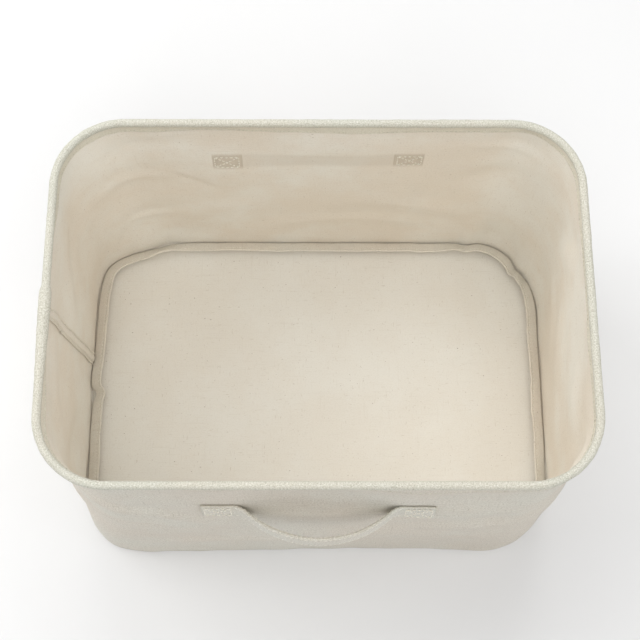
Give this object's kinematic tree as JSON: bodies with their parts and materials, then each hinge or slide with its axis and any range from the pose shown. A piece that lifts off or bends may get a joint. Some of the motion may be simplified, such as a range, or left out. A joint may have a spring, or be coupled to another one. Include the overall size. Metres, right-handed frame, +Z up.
{
  "type": "fabric storage bin",
  "caption": "Open-topped rectangular cloth storage bin with a wire-stiffened rim, taped inner seams and a strap handle on each long side.",
  "frame": {"origin": "on the ground under the centre of the bin", "axes": "+Z up, +X along the long side, -Y towards the front"},
  "size_m": [0.382, 0.3184, 0.241],
  "materials": {
    "linen_cloth": "plain-woven linen and cotton blend, natural, coated on its inner face",
    "binding_tape": "bias tape of the same cloth",
    "strap_cloth": "folded and edge-stitched cloth strap",
    "sewing_thread": "cream cotton-wrapped thread",
    "steel_wire": "bright drawn spring steel",
    "steel_sleeve": "crimped steel sleeve"
  },
  "bodies": {
    "base": {"base_panel": "linen_cloth", "wall_panel": "linen_cloth", "base_seam_binding": "binding_tape", "base_binding_stitching": "sewing_thread", "side_seam_binding": "binding_tape", "side_seam_stitching": "sewing_thread"},
    "rim": {"rim_wire": "steel_wire", "rim_wire_sleeve": "steel_sleeve", "rim_hem": "linen_cloth", "rim_hem_stitching": "sewing_thread"},
    "front_handle_mount": {"front_handle_ends": "strap_cloth", "front_handle_left_stitches": "sewing_thread", "front_handle_right_stitches": "sewing_thread"},
    "front_handle": {"front_handle_loop": "strap_cloth", "front_handle_edge_stitching": "sewing_thread"},
    "back_handle_mount": {"back_handle_ends": "strap_cloth", "back_handle_left_stitches": "sewing_thread", "back_handle_right_stitches": "sewing_thread"},
    "back_handle": {"back_handle_loop": "strap_cloth", "back_handle_edge_stitching": "sewing_thread"}
  },
  "joints": [
    {"name": "rim_collapse", "type": "slide", "parent": "base", "child": "rim", "axis": [0, 0, -1], "range_m": [0, 0.165], "deforming": ["wall_panel", "side_seam_binding", "side_seam_stitching"]},
    {"name": "front_handle_drop", "type": "slide", "parent": "base", "child": "front_handle_mount", "axis": [0, 0, -1], "range_m": [0, 0.121]},
    {"name": "back_handle_drop", "type": "slide", "parent": "base", "child": "back_handle_mount", "axis": [0, 0, -1], "range_m": [0, 0.121]},
    {"name": "front_handle_swing", "type": "hinge", "parent": "front_handle_mount", "child": "front_handle", "pos_m": [0, -0.14201, 0.17431], "axis": [-1, 0, 0], "range_deg": [-60, 60]},
    {"name": "back_handle_swing", "type": "hinge", "parent": "back_handle_mount", "child": "back_handle", "pos_m": [0, 0.14201, 0.17431], "axis": [1, 0, 0], "range_deg": [-60, 60]}
  ],
  "couplings": [
    {"joint": "front_handle_drop", "follows": "rim_collapse", "ratio": 0.7311},
    {"joint": "back_handle_drop", "follows": "rim_collapse", "ratio": 0.7311}
  ]
}
